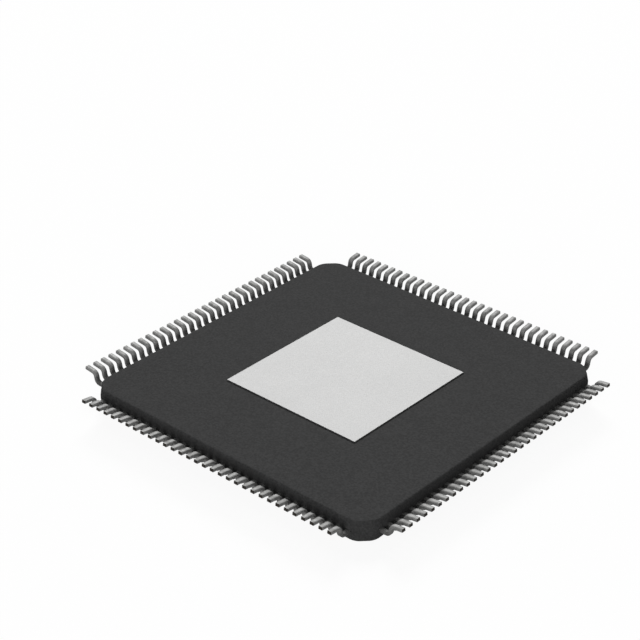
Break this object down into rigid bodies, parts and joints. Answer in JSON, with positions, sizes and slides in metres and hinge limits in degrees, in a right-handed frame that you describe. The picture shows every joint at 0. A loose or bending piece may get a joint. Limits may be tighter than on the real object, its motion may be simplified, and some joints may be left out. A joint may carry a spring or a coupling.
{
  "type": "integrated circuit",
  "caption": "Square flat integrated circuit with fine gull-wing leads on all four sides and an exposed metal pad, lying with its mounting side up.",
  "frame": {"origin": "middle of the marking face, which the part lies on", "axes": "+Z out of the mounting side, with the pad and the feet; +X and +Y square to two sides, and the pin-one mark at +X +Y"},
  "size_m": [0.016, 0.016, 0.0011],
  "materials": {
    "moulding_compound": "matt black epoxy with a fine grain",
    "pad_plating": "satin matt-tin plating",
    "lead_plating": "satin matt-tin plating",
    "silicon": "polished silicon",
    "attach_epoxy": "silver-filled epoxy",
    "bond_wire": "drawn gold"
  },
  "bodies": {
    "root": {"bond_wires_001_to_008": "bond_wire", "bond_wires_009_to_016": "bond_wire", "bond_wires_017_to_024": "bond_wire", "bond_wires_025_to_032": "bond_wire", "bond_wires_033_to_040": "bond_wire", "bond_wires_041_to_048": "bond_wire", "bond_wires_049_to_056": "bond_wire", "bond_wires_057_to_064": "bond_wire", "bond_wires_065_to_072": "bond_wire", "bond_wires_073_to_080": "bond_wire", "bond_wires_081_to_088": "bond_wire", "bond_wires_089_to_096": "bond_wire", "bond_wires_097_to_104": "bond_wire", "bond_wires_105_to_112": "bond_wire", "bond_wires_113_to_120": "bond_wire", "bond_wires_121_to_128": "bond_wire", "die_attach": "attach_epoxy", "exposed_pad": "pad_plating", "leads_001_to_008": "lead_plating", "leads_009_to_016": "lead_plating", "leads_017_to_024": "lead_plating", "leads_025_to_032": "lead_plating", "leads_033_to_040": "lead_plating", "leads_041_to_048": "lead_plating", "leads_049_to_056": "lead_plating", "leads_057_to_064": "lead_plating", "leads_065_to_072": "lead_plating", "leads_073_to_080": "lead_plating", "leads_081_to_088": "lead_plating", "leads_089_to_096": "lead_plating", "leads_097_to_104": "lead_plating", "leads_105_to_112": "lead_plating", "leads_113_to_120": "lead_plating", "leads_121_to_128": "lead_plating", "mould_body": "moulding_compound", "silicon_die": "silicon"}
  },
  "joints": []
}
